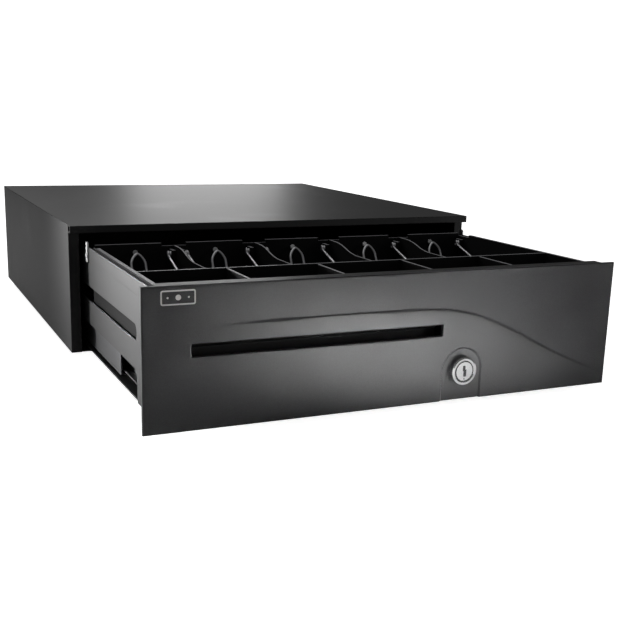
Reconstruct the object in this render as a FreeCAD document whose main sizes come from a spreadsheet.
"""Cash drawer: a steel cabinet with a sliding drawer, a lift-out till, wire bill holders, a lock and a latch.

Two working frames are used while the pieces are drawn, both in millimetres:
  cabinet frame: x = 0 on the centre line, y = 0 on the cabinet's front face, z = 0 on the cabinet's underside
  drawer frame:  the same x and z, y = 0 on the front face of the drawer's panel
Each piece's Placement then carries it into the part's own frame, whose origin is on the ground
under the middle of the drawer in its open position. +X is to the right, +Y to the back, +Z up.
"""
import FreeCAD, Part
import math
import os
import re
import Sketcher
from FreeCAD import Placement, Rotation, Vector

SIZES = {
    # cabinet
    "cab_half": (205.5, "half the cabinet's width"),
    "cab_depth": (412, "front face to back face"),
    "cab_top": (116, "underside to top"),
    "steel": (1.2, "sheet thickness"),
    "slack": (0.1, "gap between faces that only meet"),
    "nose_out": (8, "lip of the top ahead of the front face"),
    "nose_deep": (6.7, "height of that lip"),
    "jamb": (9.5, "width of the folded flange beside the drawer's opening"),
    "rear_flange": (12, "flange that the back panel is screwed to"),
    "pan_flange": (12, "upturned edge of the base pan"),
    "foot_tall": (8, "rubber foot height"),
    "foot_wide": (10.5, "rubber foot radius at the top"),
    "foot_in": (32, "foot centre in from the sides"),
    "foot_back": (34, "foot centre in from front and back"),
    "foot_recess": (4, "depth of the recess under a foot"),
    "foot_bolt": (2, "radius of a foot screw's shank"),
    "foot_bolt_head": (3.8, "radius of a foot screw's head"),
    "foot_bolt_up": (1.5, "foot screw's head above the ground"),
    "bolt": (1.5, "radius of a small screw's shank"),
    "bolt_head": (2.8, "radius of a small screw's head"),
    "screw_fit": (0.15, "clearance round a screw's shank"),
    "rear_head": (1.8, "height of a screw's head"),
    "rear_head_wide": (3.2, "radius of a back panel screw's head"),
    "rear_bolt_long": (8, "length of a back panel screw's shank"),
    "recess_half": (1.8, "half the length of a driver recess"),
    "recess_thin": (0.35, "half its width"),
    "recess_deep": (0.9, "its depth"),
    "screw_low": (24, "height of the lower back panel screws"),
    "screw_high": (88, "height of the upper back panel screws"),
    "pan_screw": (90, "screws in the pan's rear edge, out from the centre"),
    "jack_x": (127, "socket's centre across"),
    "jack_z": (24.5, "socket's height"),
    "jack_half": (7, "half the socket's width"),
    "jack_tall": (6.5, "half the socket's height"),
    "jack_deep": (15.2, "depth of the socket"),
    "jack_out": (1.2, "socket's face behind the back panel"),
    "jack_wall": (1.2, "wall of the socket"),
    # drawer
    "open_out": (235, "panel face ahead of the cabinet's face when open"),
    "panel_half": (203, "half the panel's width"),
    "panel_low": (-3, "panel's lower edge"),
    "panel_top": (102.3, "panel's upper edge"),
    "panel_thick": (3, "panel thickness"),
    "side_out": (191.6, "outer face of a drawer side"),
    "side_low": (3.5, "underside of the drawer"),
    "side_top": (98.6, "top of a drawer side"),
    "hem_out": (0.6, "how far the folded hem stands out"),
    "hem_deep": (12, "height of the hem"),
    "tray_rear": (345, "outer face of the drawer's rear wall"),
    "rear_top": (70, "top of the rear wall"),
    "pan_out": (178, "outer face of the wall beside the slide"),
    "sole_out": (190, "outer edge of the drawer's floor, under the slide"),
    "shelf_low": (29.5, "underside of the shelf over the slide"),
    "cutout_front": (57, "front end of the openings in a drawer side"),
    "cutout_round": (9, "corner radius of the lower opening"),
    "cutout_top": (29, "top of the lower opening"),
    "vent_low": (51, "lower edge of the upper opening"),
    "vent_top": (63.5, "upper edge of the upper opening"),
    "vent_rear": (322, "rear end of the upper opening"),
    "ledge_deep": (12.5, "depth of the flange behind the panel's top"),
    "panel_screw_out": (150, "panel screws, out from the centre"),
    "panel_screw_low": (12, "height of the lower panel screws"),
    "panel_screw_high": (80, "height of the upper panel screws"),
    "chute_sheet": (1.2, "thickness of the media chute"),
    "tab_y": (216.5, "middle of a till guide, behind the panel"),
    "tab_half": (3, "half the length of a till guide"),
    "tab_low": (86, "lower end of a till guide"),
    "tab_top": (103.5, "upper end of a till guide"),
    "tab_rivet": (1.2, "radius of its rivet"),
    "tab_rivet_z": (91.5, "height of its rivet"),
    # panel features
    "slot_left": (-167.5, "left end of the media slot"),
    "slot_right": (37, "right end of the media slot"),
    "slot_low": (51, "lower edge of the media slot"),
    "slot_top": (60, "upper edge of the media slot"),
    "lock_x": (57, "lock's centre across"),
    "lock_z": (21.5, "lock's height"),
    "arch_half": (18.2, "half the width of the arched recess"),
    "arch_deep": (1.5, "depth of the arched recess"),
    "lock_proud": (4, "lock face ahead of the panel"),
    "flange_round": (11.5, "radius of the lock's flange"),
    "barrel_round": (9.5, "radius of the lock's barrel"),
    "barrel_end": (28, "inner end of the barrel"),
    "plug_round": (7.9, "radius of the turning plug"),
    "rod_round": (2.5, "radius of the lock rod"),
    "rod_end": (352, "rear end of the lock rod"),
    "turn_fit": (0.08, "radial clearance of a turning fit"),
    "nut_tall": (4, "thickness of the lock's nut"),
    "nut_round": (13.3, "corner radius of the lock's nut"),
    "keyway_half": (4, "half the height of the keyway"),
    "keyway_thin": (0.9, "half its width"),
    "flag_tall": (14, "height of the flag at the end of the lock rod"),
    "keeper_from": (64, "near edge of the plate that the flag turns behind"),
    "keeper_to": (78, "far edge of that plate"),
    "keeper_top": (34, "top of that plate"),
    # latch
    "catch_half": (12, "half the width of the striker's plate"),
    "catch_low": (7, "lower edge of that plate"),
    "catch_top": (32, "upper edge of that plate"),
    "catch_sheet": (1.5, "thickness of that plate"),
    "catch_arm": (3.5, "height of a striker arm"),
    "catch_pin": (2.5, "radius of the striker's pin"),
    "catch_out": (12, "pin behind the rear wall"),
    "catch_bolt": (8, "striker's studs, out from the centre"),
    "catch_bolt_z": (19.5, "their height"),
    "deck_half": (46, "half the width of the latch's deck"),
    "deck_top": (17, "top of the deck"),
    "deck_rear": (385, "rear edge of the deck"),
    "deck_sheet": (1.5, "thickness of the deck"),
    "pivot_top": (30, "top of the two pivot pins"),
    "plate_low": (18, "underside of the rotor and the pawl"),
    "plate_top": (21, "their top"),
    "rotor_x": (12, "rotor's pin across"),
    "rotor_y": (362, "rotor's pin behind the cabinet's face"),
    "rotor_round": (19.6, "radius of the rotor"),
    "rotor_pin": (2.5, "radius of its pin"),
    "pawl_x": (-28, "pawl's pin across"),
    "pawl_y": (374, "pawl's pin behind the cabinet's face"),
    "pawl_round": (5, "radius of the pawl's hub"),
    "pawl_pin": (2, "radius of its pin"),
    "link_y": (394, "line of the plunger"),
    "link_z": (19.5, "height of that line"),
    "link_pin": (1.5, "radius of the plunger's cross pin"),
    "frame_from": (-93.2, "outer face of the solenoid's far end plate"),
    "frame_to": (-52, "outer face of its near end plate"),
    "frame_half": (11.5, "half the depth of the solenoid's frame"),
    "frame_top": (31, "top of the end plates"),
    "coil_round": (10.6, "radius of the winding"),
    "cheek_round": (11.3, "radius of the bobbin's cheeks"),
    "cheek": (2.8, "thickness of a cheek"),
    "core_round": (4.7, "radius of the plunger"),
    "return_wire": (0.7, "radius of the return springs' wire"),
    "return_clear": (1, "gap between a return spring and its pin"),
    "return_pitch": (2, "rise of one turn of a return spring"),
    # ejector and switch
    "ejector_x": (-110, "ejector spring across"),
    "ejector_z": (21.5, "ejector spring's height"),
    "ejector_round": (6, "radius of the ejector spring"),
    "ejector_wire": (0.8, "radius of its wire"),
    "ejector_pitch": (6, "rise of one turn"),
    "ejector_long": (84, "free length"),
    "cup_round": (9.2, "radius of the cup behind the spring"),
    "cup_wall": (1.6, "wall of the cup"),
    "cup_deep": (20, "length of the cup"),
    "switch_x": (114, "switch across"),
    "switch_z": (13, "height of its button"),
    "switch_y": (348, "front face of the switch"),
    "switch_half": (10, "half the switch's width"),
    "button_out": (5.8, "button ahead of the switch"),
    # slides
    "slide_mid_z": (16.5, "height of the slides' centre line"),
    "outer_half": (11.2, "half the height of the fixed member"),
    "mid_half": (9.2, "half the height of the middle member"),
    "inner_half": (6.4, "half the height of the drawer's member"),
    "member": (1.2, "thickness of a slide member"),
    "outer_from": (64, "front end of the fixed member"),
    "outer_to": (340, "rear end of the fixed member"),
    "mid_from": (-112, "front end of the middle member, drawer open"),
    "mid_long": (325, "length of the middle member"),
    "inner_from": (6, "front end of the drawer's member"),
    "slide_leg": (7, "reach of the legs of the fixed member and of the drawer's member"),
    "mid_out": (8.6, "middle member's web out from the drawer's wall"),
    "slide_gap": (3, "middle member's legs out from the drawer's wall"),
    "slide_clear": (0.5, "bracket under the opening's top"),
    "bracket_foot": (12, "width of the bracket's foot"),
    # till
    "till_half": (188.6, "outer half width of the till's walls"),
    "till_front": (16.5, "outer face of the till's front wall"),
    "till_rear": (214, "outer face of the till's rear wall"),
    "till_low": (46, "underside of the till"),
    "rim_top": (100.5, "top of the till's rim"),
    "wall": (1.8, "wall of the till"),
    "rim_out": (1.4, "how far the rim stands out"),
    "middle_wall": (71, "front face of the wall between coins and notes"),
    "pitch": (77.3, "centre to centre of the compartments"),
    "outer_middle": (151.8, "centre line of the outermost compartments"),
    "coin_fin": (2.2, "thickness of a coin divider"),
    "note_fin": (1.6, "thickness of a note divider"),
    "notch_wide": (23, "width of a notch in the rear wall"),
    "notch_deep": (2.5, "depth of that notch"),
    "corner_long": (20, "length of the lower stretch at the rim's rear corners"),
    "corner_drop": (2.4, "how much lower it is"),
    "dip_from": (13, "start of a divider's dip, ahead of the rear wall"),
    "dip_long": (48, "length of that dip"),
    "dip_start": (2, "divider's top under the rim at the rear"),
    "dip_end": (9, "divider's top under the rim at the coins"),
    # wire note holders
    "bail_y": (206, "pivot line of the note holders"),
    "bail_z": (91, "height of that line"),
    "bail_reach": (28, "long arm to the compartment's centre"),
    "wire": (1.3, "radius of the wire"),
    "ear": (3, "thickness of a pivot ear"),
    "ear_out": (5, "ear's middle out from the wire's long arm"),
    "ear_half": (4, "half the height of an ear"),
    "loop_half": (6.5, "half the width of a holder's upright loop"),
    "loop_foot": (20, "foot of the loop, ahead of the pivot line"),
    "loop_top": (1.5, "top of the loop above the pivot line"),
    "arm_long": (104, "long arm of a holder"),
    "arm_slope": (18, "degrees that the arm slopes down"),
    "peg_up": (2, "rivet above the pivot line"),
    "peg_round": (1.5, "radius of that rivet"),
    "peg_head": (2.3, "radius of its head"),
}

doc = FreeCAD.newDocument("CashDrawer")
sheet = doc.addObject("Spreadsheet::Sheet", "Sizes")
for row, (alias, (value, meaning)) in enumerate(SIZES.items(), start=1):
    sheet.set(f"A{row}", alias)
    sheet.set(f"B{row}", str(value))
    sheet.setAlias(f"B{row}", alias)
    sheet.set(f"C{row}", meaning)
doc.recompute()

CABINET_Y = "-(cab_depth + rear_head - open_out - lock_proud) / 2"
DRAWER_Y = f"{CABINET_Y} - open_out"
SIDES = {"left": -1, "right": 1}
pieces = []


# ---- helpers -------------------------------------------------------------------------------------

def sized(expression):
    """Spell out each sheet alias in an expression."""
    def spell(match):
        word = match.group()
        return f"Sizes.{word}" if word in SIZES else word
    return re.sub(r"[a-z_]+", spell, str(expression))


def bind(thing, prop, expression):
    thing.setExpression(prop, sized(expression))


def size(alias):
    """A sheet value, for the shapes that are made by Part's own functions."""
    return float(getattr(sheet, alias))


def across(side, near, far):
    """The low and high x of a stretch that lies between near and far on one side of the centre."""
    return (near, far) if side > 0 else (f"-({far})", f"-({near})")


def about(centre, half):
    return (f"{centre} - ({half})", f"{centre} + ({half})")


def block(x, y, z):
    """A box from its (low, high) expressions along x, y and z."""
    solid = doc.addObject("Part::Box", "Block")
    for prop, axis, (low, high) in zip(("Length", "Width", "Height"), "xyz", (x, y, z)):
        bind(solid, prop, f"({high}) - ({low})")
        bind(solid, f"Placement.Base.{axis}", low)
    return solid


TURNS = {
    "x": Rotation(Vector(0, 1, 0), 90),
    "y": Rotation(Vector(1, 0, 0), -90),
    "z": Rotation(),
}


def rod(axis, radius, span, centre):
    """A cylinder along an axis; centre gives the other two coordinates in x, y, z order."""
    solid = doc.addObject("Part::Cylinder", "Rod")
    solid.Placement = Placement(Vector(), TURNS[axis])
    bind(solid, "Radius", radius)
    bind(solid, "Height", f"({span[1]}) - ({span[0]})")
    others = [name for name in "xyz" if name != axis]
    bind(solid, f"Placement.Base.{axis}", span[0])
    for name, value in zip(others, centre):
        bind(solid, f"Placement.Base.{name}", value)
    return solid


def fuse(*solids):
    if len(solids) == 1:
        return solids[0]
    joined = doc.addObject("Part::MultiFuse", "Joined")
    joined.Shapes = list(solids)
    joined.Refine = True
    return joined


def cut(base, *tools):
    result = doc.addObject("Part::Cut", "Shaped")
    result.Base = base
    result.Tool = fuse(*tools)
    result.Refine = True
    return result


def group(*solids):
    compound = doc.addObject("Part::Compound", "Group")
    compound.Links = list(solids)
    return compound


def keep(thing, label, frame_y=CABINET_Y):
    """Name a finished piece and place it in the part's own frame."""
    if thing.TypeId in ("Part::Box", "Part::Cylinder", "Part::Cone"):
        thing = group(thing)
    thing.Label = label
    bind(thing, "Placement.Base.y", frame_y)
    bind(thing, "Placement.Base.z", "foot_tall")
    pieces.append(thing)
    return thing


def new_body():
    return doc.addObject("PartDesign::Body", "Piece")


def outline(body, plane, points, height="0"):
    """A closed sketch with straight sides, each corner held by two sized distances."""
    sketch = body.newObject("Sketcher::SketchObject", "Outline")
    origin = next(f for f in body.Origin.OriginFeatures if f.Role == f"{plane}_Plane")
    sketch.AttachmentSupport = (origin, [""])
    sketch.MapMode = "FlatFace"
    bind(sketch, "AttachmentOffset.Base.z", height)
    count = len(points)
    start = [Vector(math.cos(0.3 + math.tau * i / count), math.sin(0.3 + math.tau * i / count), 0) * 50
             for i in range(count)]
    for i in range(count):
        sketch.addGeometry(Part.LineSegment(start[i], start[(i + 1) % count]))
    for i in range(count):
        sketch.addConstraint(Sketcher.Constraint("Coincident", i, 2, (i + 1) % count, 1))
    for i, corner in enumerate(points):
        for kind, value, begin in zip(("DistanceX", "DistanceY"), corner, (start[i].x, start[i].y)):
            index = sketch.addConstraint(Sketcher.Constraint(kind, -1, 1, i, 1, begin))
            bind(sketch, f"Constraints[{index}]", value)
    return sketch


def add_pad(body, plane, points, low, high):
    """Extrude an outline between two heights along +X (YZ), +Y (XZ) or +Z (XY)."""
    base = f"-({high})" if plane == "XZ" else low
    sketch = outline(body, plane, points, base)
    pad = body.newObject("PartDesign::Pad", "Pad")
    pad.Profile = sketch
    bind(pad, "Length", f"({high}) - ({low})")
    return pad


def add_pocket(body, plane, points, low, high):
    """Cut an outline out of the body between two heights, and check that something went."""
    doc.recompute()
    before = body.Shape.Volume
    base = f"-({low})" if plane == "XZ" else high
    sketch = outline(body, plane, points, base)
    pocket = body.newObject("PartDesign::Pocket", "Pocket")
    pocket.Profile = sketch
    bind(pocket, "Length", f"({high}) - ({low})")
    doc.recompute()
    if body.Shape.Volume >= before:
        raise RuntimeError(f"{body.Label}: a pocket cut nothing")
    return pocket


def rectangle(u, v):
    return [(u[0], v[0]), (u[1], v[0]), (u[1], v[1]), (u[0], v[1])]


def arc_tube(points, radius, bend):
    """A round wire that follows straight runs joined by tangent arcs."""
    edges = []
    at = points[0]
    for before, corner, after in zip(points, points[1:], points[2:]):
        to_before = (before - corner).normalize()
        to_after = (after - corner).normalize()
        half = to_before.getAngle(to_after) / 2
        back = bend / math.tan(half)
        first = corner + to_before * back
        last = corner + to_after * back
        middle_way = (to_before + to_after).normalize()
        middle = corner + middle_way * (bend / math.sin(half) - bend)
        edges.append(Part.LineSegment(at, first).toShape())
        edges.append(Part.Arc(first, middle, last).toShape())
        at = last
    edges.append(Part.LineSegment(at, points[-1]).toShape())
    spine = Part.Wire(edges)
    circle = Part.makeCircle(radius, points[0], points[1] - points[0])
    return spine.makePipeShell([Part.Wire([circle])], True, True)


def coil(radius, wire, pitch, length, place):
    """A helical spring along +Z, moved to its place."""
    helix = Part.makeHelix(pitch, length, radius)
    circle = Part.makeCircle(wire, Vector(radius, 0, 0), Vector(0, 1, pitch / (math.tau * radius)))
    spring = Part.Wire(helix).makePipeShell([Part.Wire([circle])], True, True)
    spring.Placement = place
    return spring


def made_shape(shape):
    """Hold a shape made by Part's own functions; the compound keeps its place inside the frame."""
    feature = doc.addObject("Part::Feature", "Made")
    feature.Shape = Part.makeCompound([shape])
    return feature


# ---- cabinet -------------------------------------------------------------------------------------

def pan_screw_places():
    return [(x, "steel + pan_flange / 2") for x in ("-pan_screw", "pan_screw")]


def rear_screw_places():
    """Two screws into each rear flange of the cover and two into the base pan's rear edge."""
    edge = "cab_half - steel - rear_flange / 2"
    places = [(x, z) for x in (f"-({edge})", edge) for z in ("screw_low", "screw_high")]
    return places + pan_screw_places()


def cabinet_cover():
    """Top and both sides folded from one sheet, with the lip over the drawer and the flanges."""
    body = new_body()
    inner = "cab_half - steel"
    add_pad(body, "XZ", [
        ("-cab_half", "0"), ("-cab_half", "cab_top"), ("cab_half", "cab_top"), ("cab_half", "0"),
        (inner, "0"), (inner, "cab_top - steel"), (f"-({inner})", "cab_top - steel"), (f"-({inner})", "0"),
    ], "0", "cab_depth")
    nose_low = "cab_top - nose_deep"
    add_pad(body, "YZ", [
        ("0", "cab_top"), ("-nose_out", "cab_top"), ("-nose_out", nose_low), ("0", nose_low),
        ("0", f"{nose_low} + steel"), ("-nose_out + steel", f"{nose_low} + steel"),
        ("-nose_out + steel", "cab_top - steel"), ("0", "cab_top - steel"),
    ], "-cab_half", "cab_half")
    header = rectangle((f"-({inner})", inner), (nose_low, f"{nose_low} + 2 * steel"))
    add_pad(body, "XZ", header, "0", "steel")
    for side in SIDES.values():
        jamb = across(side, "cab_half - jamb", inner)
        add_pad(body, "XZ", rectangle(jamb, ("0", f"{nose_low} + steel")), "0", "steel")
        flange = across(side, f"{inner} - rear_flange", inner)
        add_pad(body, "XZ", rectangle(flange, ("pan_flange + 2 * steel", "cab_top - steel")),
                "cab_depth - 2 * steel", "cab_depth - steel")
    screws = [rod("y", "bolt + screw_fit", ("cab_depth - 3 * steel", "cab_depth"), place)
              for place in rear_screw_places()]
    return keep(cut(body, *screws), "cabinet_cover")


def foot_places():
    xs = ("-(cab_half - foot_in)", "cab_half - foot_in")
    ys = ("foot_back", "cab_depth - foot_back")
    return [(x, y) for x in xs for y in ys]


def base_pan():
    """The cabinet's floor, with edges turned up inside the cover."""
    inner = "cab_half - steel - slack"
    rear = "cab_depth - steel - slack"
    body = new_body()
    add_pad(body, "XZ", [
        (f"-({inner})", "0"), (inner, "0"), (inner, "pan_flange"), (f"{inner} - steel", "pan_flange"),
        (f"{inner} - steel", "steel"), (f"-({inner} - steel)", "steel"),
        (f"-({inner} - steel)", "pan_flange"), (f"-({inner})", "pan_flange"),
    ], "steel + slack", rear)
    edge = rectangle((f"-({inner})", inner), ("0", "pan_flange"))
    add_pad(body, "XZ", edge, f"{rear} - steel", rear)
    holes = [rod("z", "foot_bolt + screw_fit", ("-1", "steel + 1"), place) for place in foot_places()]
    holes += [rod("y", "bolt + screw_fit", ("cab_depth - 4 * steel", "cab_depth"), place)
              for place in pan_screw_places()]
    return keep(cut(body, *holes), "base_pan")


def back_panel():
    """The plate that closes the rear, screwed to the flanges of the cover and the pan."""
    inner = "cab_half - steel - slack"
    plate = block((f"-({inner})", inner), ("cab_depth - steel", "cab_depth"), ("0", "cab_top - steel - slack"))
    through = ("cab_depth - 2 * steel", "cab_depth + 1")
    holes = [block(about("jack_x", "jack_half + slack"), through, about("jack_z", "jack_tall + slack"))]
    holes += [rod("y", "bolt + screw_fit", through, place) for place in rear_screw_places()]
    return keep(cut(plate, *holes), "back_panel")


def rear_screws():
    screws = []
    head_top = "cab_depth + rear_head"
    bars = (("recess_half", "recess_thin"), ("recess_thin", "recess_half"))
    for place in rear_screw_places():
        head = rod("y", "rear_head_wide", ("cab_depth", head_top), place)
        shank = rod("y", "bolt", ("cab_depth - rear_bolt_long", "cab_depth"), place)
        recess = [block(about(place[0], wide), (f"{head_top} - recess_deep", head_top), about(place[1], tall))
                  for wide, tall in bars]
        screws.append(cut(fuse(head, shank), *recess))
    return keep(group(*screws), "rear_screws")


def rubber_feet():
    feet = []
    for x, y in foot_places():
        cone = doc.addObject("Part::Cone", "Foot")
        bind(cone, "Radius1", "foot_wide - foot_bolt_up")
        bind(cone, "Radius2", "foot_wide")
        bind(cone, "Height", "foot_tall")
        for axis, value in zip("xyz", (x, y, "-foot_tall")):
            bind(cone, f"Placement.Base.{axis}", value)
        recess = rod("z", "foot_bolt_head + 4 * screw_fit",
                     ("-foot_tall - 1", "-foot_tall + foot_recess"), (x, y))
        hole = rod("z", "foot_bolt + screw_fit", ("-foot_tall", "1"), (x, y))
        feet.append(cut(cone, recess, hole))
    return keep(group(*feet), "rubber_feet")


def foot_screws():
    screws = []
    head_low = "-foot_tall + foot_bolt_up"
    for x, y in foot_places():
        head = rod("z", "foot_bolt_head", (head_low, "-foot_tall + foot_recess"), (x, y))
        shank = rod("z", "foot_bolt", ("-foot_tall + foot_recess", "2 * steel"), (x, y))
        slot = block(about(x, "2 * bolt"), about(y, "recess_thin"), (head_low, f"{head_low} + recess_deep"))
        screws.append(cut(fuse(head, shank), slot))
    return keep(group(*screws), "foot_screws")


def connector_jack():
    """The modular socket: a plug's body goes in below, its clip in the narrow part above."""
    front = "cab_depth + jack_out - jack_deep"
    rear = "cab_depth + jack_out"
    shell = block(about("jack_x", "jack_half"), (front, rear), about("jack_z", "jack_tall"))
    inside = (f"{front} + jack_wall", f"{rear} + 1")
    cavity = block(about("jack_x", "jack_half - jack_wall"), inside,
                   ("jack_z - jack_tall + jack_wall", "jack_z + jack_tall / 2"))
    clip = block(about("jack_x", "jack_half / 2"), inside, ("jack_z", "jack_z + jack_tall - jack_wall"))
    return keep(cut(shell, cavity, clip), "connector_jack")


# ---- slides --------------------------------------------------------------------------------------

def channel(side, web, legs, half, y):
    """A C-shaped slide member: an upright web, and two legs that reach across their own span."""
    low = f"slide_mid_z - {half}"
    high = f"slide_mid_z + {half}"
    spine = block(across(side, *web), y, (low, high))
    bottom = block(across(side, *legs), y, (low, f"{low} + member"))
    top = block(across(side, *legs), y, (f"{high} - member", high))
    return fuse(spine, bottom, top)


def slide_set(name, side):
    """One telescopic slide: bracket and fixed member, middle member, and the drawer's member."""
    plane = "side_out - steel"
    fixed_y = ("outer_from", "outer_to")
    web = block(across(side, plane, "side_out"), fixed_y, ("steel + slack", "cutout_top - slide_clear"))
    foot = block(across(side, plane, f"{plane} + bracket_foot"), fixed_y,
                 ("steel + slack", "2 * steel + slack"))
    keep(fuse(web, foot), f"slide_bracket_{name}")
    keep(channel(side, (f"{plane} - member", plane), (f"{plane} - slide_leg", plane), "outer_half", fixed_y),
         f"slide_outer_{name}")
    mid_y = ("mid_from", "mid_from + mid_long")
    mid_face = "pan_out + mid_out + member"
    keep(channel(side, ("pan_out + mid_out", mid_face), ("pan_out + slide_gap", mid_face), "mid_half", mid_y),
         f"slide_middle_{name}")
    inner_y = ("inner_from", "tray_rear - steel")
    keep(channel(side, ("pan_out", "pan_out + member"), ("pan_out", "pan_out + slide_leg"),
                 "inner_half", inner_y), f"slide_inner_{name}", DRAWER_Y)


# ---- drawer --------------------------------------------------------------------------------------

PANEL_SCREWS = [(x, z) for x in ("-panel_screw_out", "0", "panel_screw_out")
                for z in ("panel_screw_low", "panel_screw_high")]


def front_panel():
    """The panel with its media slot, the arched recess round the lock and the lock's hole."""
    body = new_body()
    add_pad(body, "XZ", rectangle(("-panel_half", "panel_half"), ("panel_low", "panel_top")),
            "0", "panel_thick")
    add_pocket(body, "XZ", rectangle(("slot_left", "slot_right"), ("slot_low", "slot_top")),
               "-1", "panel_thick + 1")
    recess = about("lock_x", "arch_half")
    add_pocket(body, "XZ", rectangle(recess, ("panel_low - 1", "lock_z")), "-1", "arch_deep")
    centre = ("lock_x", "lock_z")
    dome = rod("y", "arch_half", ("-1", "arch_deep"), centre)
    bore = rod("y", "barrel_round + screw_fit", ("-1", "panel_thick + 1"), centre)
    blind = [rod("y", "bolt + screw_fit", ("panel_thick / 3", "panel_thick + 1"), place)
             for place in PANEL_SCREWS]
    return keep(cut(body, dome, bore, *blind), "front_panel", DRAWER_Y)


def front_wall():
    """The steel wall behind the panel, with a flange along its top."""
    near = "panel_thick + slack"
    wall = block(("-side_out", "side_out"), (near, f"{near} + steel"), ("side_low", "panel_top"))
    flange = block(("-side_out", "side_out"), (near, "ledge_deep"), ("panel_top - steel", "panel_top"))
    through = ("0", "2 * panel_thick")
    holes = [block(("slot_left - 1", "slot_right + 1"), through, ("slot_low - 1", "slot_top + 1")),
             rod("y", "barrel_round + screw_fit", through, ("lock_x", "lock_z"))]
    holes += [rod("y", "bolt + screw_fit", through, place) for place in PANEL_SCREWS]
    return keep(cut(fuse(wall, flange), *holes), "drawer_front_wall", DRAWER_Y)


def panel_screws():
    near = "panel_thick + slack + steel"
    screws = [fuse(rod("y", "bolt", ("panel_thick / 2", near), place),
                   rod("y", "bolt_head", (near, f"{near} + rear_head"), place)) for place in PANEL_SCREWS]
    return keep(group(*screws), "panel_screws", DRAWER_Y)


def drawer_side(name, side):
    """A drawer side: hem along the top, long upper opening, and open below for the slide."""
    inner = "side_out - steel"
    y = ("panel_thick + steel + 2 * slack", "tray_rear")
    skin = block(across(side, inner, "side_out"), y, ("side_low", "side_top"))
    hem = block(across(side, inner, "side_out + hem_out"), y, ("side_top - hem_deep", "side_top"))
    through = across(side, "side_out - 5", "side_out + 5")
    vent_round = "(vent_top - vent_low) / 2"
    vent_z = "(vent_low + vent_top) / 2"
    vent_ends = (f"cutout_front + {vent_round}", f"vent_rear - {vent_round}")
    round_y = "cutout_front + cutout_round"
    openings = [block(through, vent_ends, ("vent_low", "vent_top"))]
    openings += [rod("x", vent_round, through, (end, vent_z)) for end in vent_ends]
    openings += [
        block(through, (round_y, "tray_rear + 1"), ("0", "cutout_top")),
        block(through, ("cutout_front", f"{round_y} + 1"), ("0", "cutout_top - cutout_round")),
        rod("x", "cutout_round", through, (round_y, "cutout_top - cutout_round")),
        rod("x", "tab_rivet + turn_fit", through, ("tab_y", "tab_rivet_z")),
    ]
    return keep(cut(fuse(skin, hem), *openings), f"drawer_side_{name}", DRAWER_Y)


def till_guide(name, side):
    """A small plate riveted to the drawer's side; it stands above the side and centres the till."""
    inner = "side_out + hem_out + slack"
    outer = f"{inner} + steel"
    x = across(side, inner, outer)
    plate = block(x, about("tab_y", "tab_half"), ("tab_low", "tab_top - tab_half"))
    crown = rod("x", "tab_half", x, ("tab_y", "tab_top - tab_half"))
    shank = rod("x", "tab_rivet", across(side, "side_out - steel", outer), ("tab_y", "tab_rivet_z"))
    head = rod("x", "2 * tab_rivet", across(side, outer, f"{outer} + steel / 2"), ("tab_y", "tab_rivet_z"))
    return keep(fuse(plate, crown, shank, head), f"till_guide_{name}", DRAWER_Y)


def drawer_floor():
    """Floor out to the drawer's sides, with upright walls beside the slides and shelves over them."""
    pan_in = "pan_out - steel"
    shelf_end = "side_out - steel - slack"
    top = "shelf_low + steel"
    sole_top = "side_low + steel"
    right = [("sole_out", "side_low"), ("sole_out", sole_top), ("pan_out", sole_top), ("pan_out", "shelf_low"),
             (shelf_end, "shelf_low"), (shelf_end, top), (pan_in, top), (pan_in, sole_top)]
    left = [(f"-({x})", z) for x, z in reversed(right)]
    body = new_body()
    add_pad(body, "XZ", right + left, "panel_thick + steel + 2 * slack", "tray_rear - steel - slack")
    return keep(body, "drawer_floor", DRAWER_Y)


STRIKER_BOLTS = [(x, "catch_bolt_z") for x in ("-catch_bolt", "catch_bolt")]
STRIKER_PIN_Y = "tray_rear + catch_out"


def rear_wall():
    """The rear wall, narrow between the slides and full width above them."""
    low_x = "pan_out - steel - slack"
    high_x = "side_out - steel - slack"
    step = "shelf_low + steel + slack"
    right = [(low_x, "side_low + steel + slack"), (low_x, step), (high_x, step), (high_x, "rear_top")]
    left = [(f"-({x})", z) for x, z in reversed(right)]
    body = new_body()
    add_pad(body, "XZ", right + left, "tray_rear - steel", "tray_rear")
    through = ("tray_rear - 2 * steel", "tray_rear + steel")
    hole = rod("y", "rod_round + turn_fit", through, ("lock_x", "lock_z"))
    bolts = [rod("y", "bolt + screw_fit", through, place) for place in STRIKER_BOLTS]
    return keep(cut(body, hole, *bolts), "drawer_rear_wall", DRAWER_Y)


def striker():
    """The loop on the rear wall whose upright pin the rotor catches."""
    front = "tray_rear + slack"
    face = "tray_rear + slack + catch_sheet"
    plate = block(("-catch_half", "catch_half"), (front, face), ("catch_low", "catch_top"))
    arm_low = "catch_low + 1"
    arm_top = "catch_top - 1"
    heights = ((arm_low, f"{arm_low} + catch_arm"), (f"{arm_top} - catch_arm", arm_top))
    arms = [block(("-catch_pin", "catch_pin"), (face, STRIKER_PIN_Y), z) for z in heights]
    pin = rod("z", "catch_pin", (arm_low, arm_top), ("0", STRIKER_PIN_Y))
    studs = [rod("y", "bolt", ("tray_rear - 2 * steel", face), place) for place in STRIKER_BOLTS]
    return keep(fuse(plate, *arms, pin, *studs), "striker", DRAWER_Y)


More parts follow.
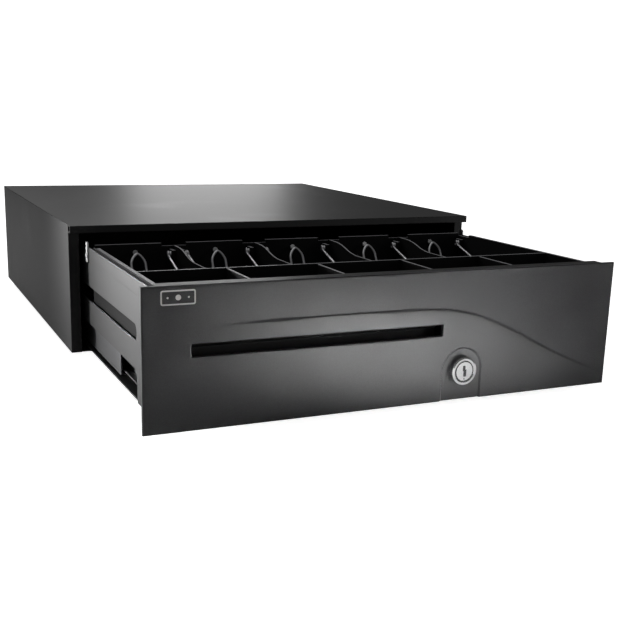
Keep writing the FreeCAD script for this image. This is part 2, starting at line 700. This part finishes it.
def media_chute():
    """The bent guide that turns what is posted through the slot down under the till."""
    near = "panel_thick + 2 * slack + steel"
    back = "till_front - 1"
    top = "slot_top + 1"
    knee = "slot_top - 5"
    body = new_body()
    add_pad(body, "YZ", [
        (near, top), (near, f"{top} + chute_sheet"), (f"{near} + 3", f"{top} + chute_sheet"),
        (back, knee), (back, "till_low - 5"), (f"{back} - chute_sheet", "till_low - 5"),
        (f"{back} - chute_sheet", f"{knee} - chute_sheet / 2"), (f"{near} + 3 - chute_sheet / 2", top),
    ], "slot_left - 1", "slot_right + 1")
    return keep(body, "media_chute", DRAWER_Y)


# ---- lock ----------------------------------------------------------------------------------------

def lock_set():
    """The barrel through the panel, its nut, the turning plug, the rod behind it and its keeper."""
    centre = ("lock_x", "lock_z")
    face = "-lock_proud"
    flange = rod("y", "flange_round", (face, "arch_deep"), centre)
    barrel = rod("y", "barrel_round", ("arch_deep", "barrel_end"), centre)
    bore = rod("y", "plug_round + turn_fit", (f"{face} - 1", "barrel_end + 1"), centre)
    keep(cut(fuse(flange, barrel), bore), "lock_barrel", DRAWER_Y)

    near = "panel_thick + slack + steel"
    prism = doc.addObject("Part::Prism", "Hexagon")
    prism.Polygon = 6
    prism.Placement = Placement(Vector(), TURNS["y"])
    bind(prism, "Circumradius", "nut_round")
    bind(prism, "Height", "nut_tall")
    for axis, value in zip("xyz", ("lock_x", near, "lock_z")):
        bind(prism, f"Placement.Base.{axis}", value)
    nut_hole = rod("y", "barrel_round + turn_fit", ("0", f"{near} + nut_tall + 1"), centre)
    keep(cut(prism, nut_hole), "lock_nut", DRAWER_Y)

    plug = rod("y", "plug_round", (f"{face} + 3 * slack", "barrel_end"), centre)
    keyway = block(about("lock_x", "keyway_thin"), (f"{face} - 1", "2 * keyway_half"),
                   about("lock_z", "keyway_half"))
    keep(cut(plug, keyway), "lock_plug", DRAWER_Y)

    shaft = rod("y", "rod_round", ("barrel_end + slack", "rod_end"), centre)
    flag = block(about("lock_x", "rod_round - slack"), ("rod_end - 4", "rod_end - 1"),
                 ("lock_z", "lock_z + flag_tall"))
    keep(fuse(shaft, flag), "lock_rod", DRAWER_Y)

    across_x = ("keeper_from", "keeper_to")
    front = "tray_rear - 2 * steel"
    upright = block(across_x, (front, f"{front} + steel"), ("steel + slack", "keeper_top"))
    sole = block(across_x, (front, f"{front} + flag_tall"), ("steel + slack", "2 * steel + slack"))
    keep(fuse(upright, sole), "lock_keeper")


# ---- latch ---------------------------------------------------------------------------------------

ROTOR = ("rotor_x", "rotor_y")
PAWL = ("pawl_x", "pawl_y")
PLATE_Z = ("plate_low", "plate_top")
ALL_Z = ("0", "2 * plate_top")


def latch_bracket():
    """The deck that carries the rotor and the pawl, with a mouth for the striker's pin."""
    foot = "steel + slack"
    inner = "deck_half - deck_sheet"
    under = "deck_top - deck_sheet"
    body = new_body()
    add_pad(body, "XZ", [
        ("-deck_half", foot), ("-deck_half", "deck_top"), ("deck_half", "deck_top"), ("deck_half", foot),
        (inner, foot), (inner, under), (f"-({inner})", under), (f"-({inner})", foot),
    ], "tray_rear + 1", "deck_rear")
    mouth = block(about("0", "2 * catch_pin"), ("tray_rear", "rotor_y - 1"), ALL_Z)
    pins = [rod("z", "rotor_pin", (under, "pivot_top"), ROTOR),
            rod("z", "pawl_pin", (under, "pivot_top"), PAWL)]
    return keep(fuse(cut(body, mouth), *pins), "latch_bracket")


def latch_rotor():
    """The turning fork: its notch takes the striker's pin as the drawer closes."""
    notch_half = "catch_pin + 1.1"
    disc = rod("z", "rotor_round", PLATE_Z, ROTOR)
    notch = block(about("0", notch_half), ("rotor_y - 2 * rotor_round", STRIKER_PIN_Y), ALL_Z)
    heel = rod("z", notch_half, ALL_Z, ("0", STRIKER_PIN_Y))
    trim = block(about("rotor_x", "2 * rotor_round"), ("rotor_y - 2 * rotor_round", "tray_rear + 1"), ALL_Z)
    step = block(("rotor_x - 24", "rotor_x - 16"), ("rotor_y + 10", "rotor_y + 30"), ALL_Z)
    bore = rod("z", "rotor_pin + turn_fit", ALL_Z, ROTOR)
    return keep(cut(disc, notch, heel, trim, step, bore), "latch_rotor")


def latch_pawl():
    """The lever that holds the rotor; its tail has a long hole for the plunger's pin."""
    hub = rod("z", "pawl_round", PLATE_Z, PAWL)
    nose = block(("pawl_x", "pawl_x + 20.2"), ("pawl_y - pawl_round", "pawl_y + 1"), PLATE_Z)
    tail = block(about("pawl_x", "2 * link_pin"), ("pawl_y", "link_y + 4"), PLATE_Z)
    bore = rod("z", "pawl_pin + turn_fit", ALL_Z, PAWL)
    slot = block(about("pawl_x", "link_pin + 0.4"), ("link_y - 2.8", "link_y + 2.4"), ALL_Z)
    return keep(cut(fuse(hub, nose, tail), bore, slot), "latch_pawl")


def solenoid():
    """The pull magnet: an open frame, the wound bobbin, and the plunger with its fork."""
    y = about("link_y", "frame_half")
    line = ("link_y", "link_z")
    passage = "core_round + slack"
    sheet = (("frame_from", "frame_from + steel"), ("frame_to - steel", "frame_to"))
    ends = [block(x, y, ("steel + slack", "frame_top")) for x in sheet]
    sole = block(("frame_from", "frame_to"), y, ("steel + slack", "2 * steel + slack"))
    mouth = rod("x", passage, ("frame_to - 2 * steel", "frame_to + 1"), line)
    keep(cut(fuse(*ends, sole), mouth), "solenoid_frame")

    far = "frame_from + steel + slack"
    near = "frame_to - steel - slack"
    winding = rod("x", "coil_round", (f"{far} + cheek", f"{near} - cheek"), line)
    cheeks = [rod("x", "cheek_round", x, line) for x in ((far, f"{far} + cheek"), (f"{near} - cheek", near))]
    bore = rod("x", passage, (f"{far} + 2 * cheek", "frame_to"), line)
    keep(cut(fuse(winding, *cheeks), bore), "solenoid_coil")

    core = rod("x", "core_round", ("frame_from + 13", "frame_to + 12"), line)
    fork_z = about("link_z", "core_round - 2 * slack")
    fork = block(("pawl_x - 16", "pawl_x + 5"), about("link_y", "core_round - 2 * slack"), fork_z)
    gap = block(("pawl_x - 8", "pawl_x + 8"), y, ("plate_low - 0.6", "plate_top + 0.6"))
    pin = rod("z", "link_pin", fork_z, ("pawl_x", "link_y"))
    keep(fuse(cut(fuse(core, fork), gap), pin), "solenoid_plunger")


def springs():
    """Return springs of the rotor and the pawl, and the spring that pushes the drawer open."""
    wire = size("return_wire")
    low = size("plate_top") + wire + size("slack") * 3
    for name in ("rotor", "pawl"):
        at = Vector(size(f"{name}_x"), size(f"{name}_y"), low)
        radius = size(f"{name}_pin") + size("return_clear") + wire
        spring = coil(radius, wire, size("return_pitch"), 3 * size("return_pitch"), Placement(at, Rotation()))
        keep(made_shape(spring), f"{name}_spring")

    line = ("ejector_x", "ejector_z")
    rear = "cab_depth - steel - slack"
    cup = cut(rod("y", "cup_round", (f"{rear} - cup_deep", rear), line),
              rod("y", "cup_round - cup_wall", (f"{rear} - cup_deep - 1", f"{rear} - cup_wall"), line))
    keep(cup, "spring_cup")
    wire = size("ejector_wire")
    end = size("cab_depth") - size("steel") - size("cup_wall") - 2 * size("slack") - wire
    place = Placement(Vector(size("ejector_x"), end, size("ejector_z")), Rotation(Vector(1, 0, 0), 90))
    spring = coil(size("ejector_round"), wire, size("ejector_pitch"), size("ejector_long"), place)
    keep(made_shape(spring), "ejector_spring")


def open_switch():
    """The small switch that reports whether the drawer is open."""
    button = ("switch_x", "switch_z")
    shell = block(about("switch_x", "switch_half"), ("switch_y", "switch_y + switch_half"),
                  ("steel + slack", "switch_z + 7"))
    bore = rod("y", "bolt + turn_fit", ("switch_y - 1", "switch_y + 8"), button)
    keep(cut(shell, bore), "switch_body")
    keep(rod("y", "bolt", ("switch_y - button_out", "switch_y + 6"), button), "switch_button")


# ---- till ----------------------------------------------------------------------------------------

COMPARTMENTS = range(-2, 3)
DIVIDERS = (-1.5, -0.5, 0.5, 1.5)


def compartment_centre(k):
    """Middle of a note compartment, as a factor and a size: the outermost ones are narrower."""
    if abs(k) < max(COMPARTMENTS):
        return k, "pitch"
    return (1 if k > 0 else -1), "outer_middle"


def till_tray():
    """The lift-out tray: outer walls, rim, and the wall between the coin and the note rows."""
    inner = "till_half - wall"
    above = "rim_top + 5"
    shell = block(("-till_half", "till_half"), ("till_front", "till_rear"), ("till_low", "rim_top"))
    rim = block(("-till_half - rim_out", "till_half + rim_out"),
                ("till_front - rim_out", "till_rear + rim_out"), ("side_top + slack", "rim_top"))
    floor_top = "till_low + wall"
    coins = block((f"-({inner})", inner), ("till_front + wall", "middle_wall"), (floor_top, above))
    notes = block((f"-({inner})", inner), ("middle_wall + wall", "till_rear - wall"), (floor_top, above))
    cuts = [block(about(f"{k} * pitch", "notch_wide / 2"), about("till_rear", "5"),
                  ("rim_top - notch_deep", above)) for k in DIVIDERS]
    cuts += [block(across(side, inner, "till_half + 2 * rim_out"), ("till_rear - corner_long", "till_rear + 5"),
                   ("rim_top - corner_drop", above)) for side in SIDES.values()]
    ears = []
    bores = []
    for k in COMPARTMENTS:
        centre = "{} * {}".format(*compartment_centre(k))
        for side in SIDES.values():
            near = f"{centre} + {side} * (bail_reach + ear_out)"
            ears.append(block(about(near, "ear / 2"), ("bail_y - ear_half", "till_rear - wall / 2"),
                              about("bail_z", "ear_half")))
            bores.append(rod("x", "wire + turn_fit", about(near, "ear"), ("bail_y", "bail_z")))
        bores.append(rod("y", "peg_round + turn_fit", about("till_rear", "5"), (centre, "bail_z + peg_up")))
    tray = cut(fuse(shell, rim), coins, notes, *cuts)
    return keep(cut(fuse(tray, *ears), *bores), "till_tray", DRAWER_Y)


def till_rivets():
    """One rivet through the till's rear wall behind each note holder's loop."""
    rivets = []
    inside = "till_rear - wall"
    for k in COMPARTMENTS:
        place = ("{} * {}".format(*compartment_centre(k)), "bail_z + peg_up")
        shank = rod("y", "peg_round", (inside, "till_rear"), place)
        head = rod("y", "peg_head", (f"{inside} - peg_round", inside), place)
        rivets.append(fuse(shank, head))
    return keep(group(*rivets), "till_rivets", DRAWER_Y)


def coin_dividers():
    fins = [block(about(f"{k} * pitch", "coin_fin / 2"), ("till_front + wall + slack", "middle_wall - slack"),
                  ("till_low + wall + slack", "rim_top - 4 * slack")) for k in DIVIDERS]
    return keep(group(*fins), "coin_dividers", DRAWER_Y)


def s_curve(start, end):
    """Two equal arcs in the YZ plane, level at both ends, from one point to the other."""
    run = (end.y - start.y) / 2
    drop = (end.z - start.z) / 2
    radius = (run ** 2 + drop ** 2) / (2 * abs(drop))
    half_turn = math.atan2(abs(drop), abs(run))
    step = Vector(0, math.copysign(radius * math.sin(half_turn), run),
                  math.copysign(radius * (1 - math.cos(half_turn)), drop))
    middle = (start + end) / 2
    return [Part.Arc(start, start + step, middle).toShape(), Part.Arc(middle, end - step, end).toShape()]


def note_dividers():
    """Plates whose top edge falls in an S from the rear wall to just below the coin row's height."""
    front = size("middle_wall") + size("wall") + size("slack")
    rear = size("till_rear") - size("wall") - size("slack")
    low = size("till_low") + size("wall") + size("slack")
    dip = rear - size("dip_from")
    fins = []
    for k in DIVIDERS:
        x = k * size("pitch") - size("note_fin") / 2
        spots = [(front, low), (rear, low), (rear, size("rim_top") - size("dip_start")),
                 (dip, size("rim_top") - size("dip_start")),
                 (dip - size("dip_long"), size("rim_top") - size("dip_end")),
                 (front, size("rim_top") - size("dip_end"))]
        corners = [Vector(x, y, z) for y, z in spots]
        edges = [Part.LineSegment(a, b).toShape() for a, b in zip(corners[:3], corners[1:4])]
        edges += s_curve(corners[3], corners[4])
        closing = ((corners[4], corners[5]), (corners[5], corners[0]))
        edges += [Part.LineSegment(a, b).toShape() for a, b in closing]
        fins.append(Part.Face(Part.Wire(edges)).extrude(Vector(size("note_fin"), 0, 0)))
    return keep(made_shape(Part.makeCompound(fins)), "note_dividers", DRAWER_Y)


def bill_holder(number, k):
    """A bent wire that swings on its two ends, with long arms and an upright loop in the middle."""
    factor, alias = compartment_centre(k)
    pivot = Vector(factor * size(alias), size("bail_y"), size("bail_z"))
    stub = size("bail_reach") + size("ear_out") + size("ear") / 2 - size("slack")
    slope = math.radians(size("arm_slope"))

    def along(x, forward):
        return Vector(x, -forward * math.cos(slope), -forward * math.sin(slope))

    def upright(x, forward, up):
        return Vector(x, -forward, up)
    front = along(size("loop_half") + 2.5, size("arm_long") + 8)
    loop_low = front.z
    half = [
        along(stub, 0), along(size("bail_reach"), 0), along(size("bail_reach"), size("arm_long")), front,
        upright(size("loop_half"), size("loop_foot"), loop_low),
        upright(size("loop_half"), 4, size("loop_top") - 6),
    ]
    mirrored = [Vector(-spot.x, spot.y, spot.z) for spot in half]
    top = upright(0, 1, size("loop_top"))
    points = [pivot + spot for spot in mirrored + [top] + half[::-1]]
    keep(made_shape(arc_tube(points, size("wire"), 2.2)), f"bill_holder_{number}", DRAWER_Y)


# ---- build ---------------------------------------------------------------------------------------

cabinet_cover()
base_pan()
back_panel()
rear_screws()
rubber_feet()
foot_screws()
connector_jack()
for side_name, side_sign in SIDES.items():
    slide_set(side_name, side_sign)
    drawer_side(side_name, side_sign)
    till_guide(side_name, side_sign)
front_panel()
front_wall()
panel_screws()
drawer_floor()
rear_wall()
striker()
media_chute()
lock_set()
latch_bracket()
latch_rotor()
latch_pawl()
solenoid()
springs()
open_switch()
till_tray()
till_rivets()
coin_dividers()
note_dividers()
for holder_number, compartment in enumerate(COMPARTMENTS, start=1):
    bill_holder(holder_number, compartment)
doc.recompute()

faults = [thing.Label for thing in doc.Objects if set(thing.State) & {"Invalid", "Error"}]
faults += [thing.Label for thing in pieces if thing.Shape.isNull() or not thing.Shape.isValid()]
if faults:
    raise RuntimeError(f"these failed to build: {sorted(set(faults))}")

os.makedirs("parts", exist_ok=True)
for thing in pieces:
    thing.Shape.exportStep(f"parts/{thing.Label}.step")
    box = thing.Shape.BoundBox
    print(f"{thing.Label:22s} solids {len(thing.Shape.Solids):2d}  x {box.XMin:7.1f} {box.XMax:7.1f}"
          f"  y {box.YMin:7.1f} {box.YMax:7.1f}  z {box.ZMin:6.1f} {box.ZMax:6.1f}")
print(len(pieces), "pieces")
